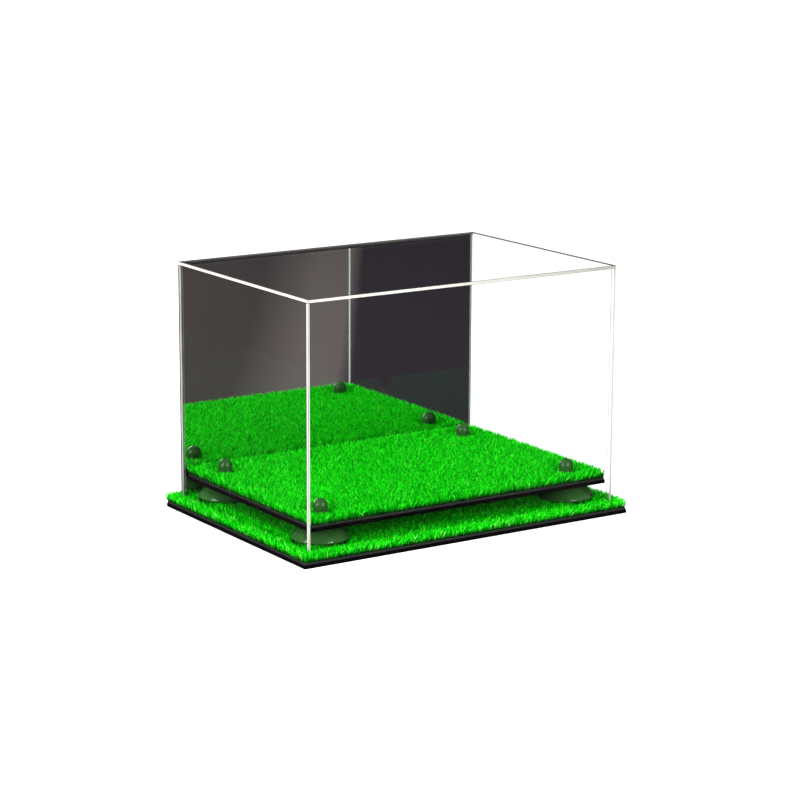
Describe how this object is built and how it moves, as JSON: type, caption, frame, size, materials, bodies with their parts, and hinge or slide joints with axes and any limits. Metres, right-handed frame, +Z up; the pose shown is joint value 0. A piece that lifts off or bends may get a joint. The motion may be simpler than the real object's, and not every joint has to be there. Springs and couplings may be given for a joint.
{
  "type": "ball display case",
  "caption": "Clear lift-off display cover with a mirror back, over a grass-topped base and a raised grass deck held by domed risers and cap nuts.",
  "frame": {"origin": "centre of the base plate's underside, on the surface that the case stands on", "axes": "+Z up, +X to the right along the long front, +Y towards the mirror at the back, so the front faces -Y"},
  "size_m": [0.338, 0.242, 0.225],
  "materials": {
    "clear_acrylic": "polished",
    "mirror_film": "polished",
    "mirror_backing": "satin",
    "black_acrylic": "gloss",
    "artificial_turf": "satin",
    "green_plastic": "gloss",
    "green_cap": "gloss",
    "steel": "satin",
    "brass": "satin"
  },
  "bodies": {
    "base": {"base_plate": "black_acrylic", "base_turf_field": "artificial_turf", "turf_strip_front": "artificial_turf", "turf_strip_back": "artificial_turf", "turf_strip_left": "artificial_turf", "turf_strip_right": "artificial_turf", "riser_front_left": "green_plastic", "riser_front_right": "green_plastic", "riser_back_left": "green_plastic", "riser_back_right": "green_plastic", "deck_plate": "black_acrylic", "deck_turf": "artificial_turf", "screw_front_left": "steel", "screw_front_right": "steel", "screw_back_left": "steel", "screw_back_right": "steel"},
    "cover": {"front_panel": "clear_acrylic", "left_panel": "clear_acrylic", "right_panel": "clear_acrylic", "top_panel": "clear_acrylic", "mirror_sheet": "clear_acrylic", "mirror_silver": "mirror_film", "mirror_paint": "mirror_backing"},
    "cap_nut_front_left": {"cap_front_left": "green_cap", "insert_front_left": "brass"},
    "cap_nut_front_right": {"cap_front_right": "green_cap", "insert_front_right": "brass"},
    "cap_nut_back_left": {"cap_back_left": "green_cap", "insert_back_left": "brass"},
    "cap_nut_back_right": {"cap_back_right": "green_cap", "insert_back_right": "brass"}
  },
  "joints": [
    {"name": "cover_lift", "type": "slide", "parent": "base", "child": "cover", "axis": [0, 0, 1], "range_m": [0, 0.25]},
    {"name": "turn_front_left", "type": "hinge", "parent": "base", "child": "cap_nut_front_left", "pos_m": [-0.1296, -0.0816, 0.0316], "axis": [0, 0, 1], "range_deg": [0, 3600]},
    {"name": "turn_front_right", "type": "hinge", "parent": "base", "child": "cap_nut_front_right", "pos_m": [0.1296, -0.0816, 0.0316], "axis": [0, 0, 1], "range_deg": [0, 3600]},
    {"name": "turn_back_left", "type": "hinge", "parent": "base", "child": "cap_nut_back_left", "pos_m": [-0.1296, 0.0816, 0.0316], "axis": [0, 0, 1], "range_deg": [0, 3600]},
    {"name": "turn_back_right", "type": "hinge", "parent": "base", "child": "cap_nut_back_right", "pos_m": [0.1296, 0.0816, 0.0316], "axis": [0, 0, 1], "range_deg": [0, 3600]}
  ]
}
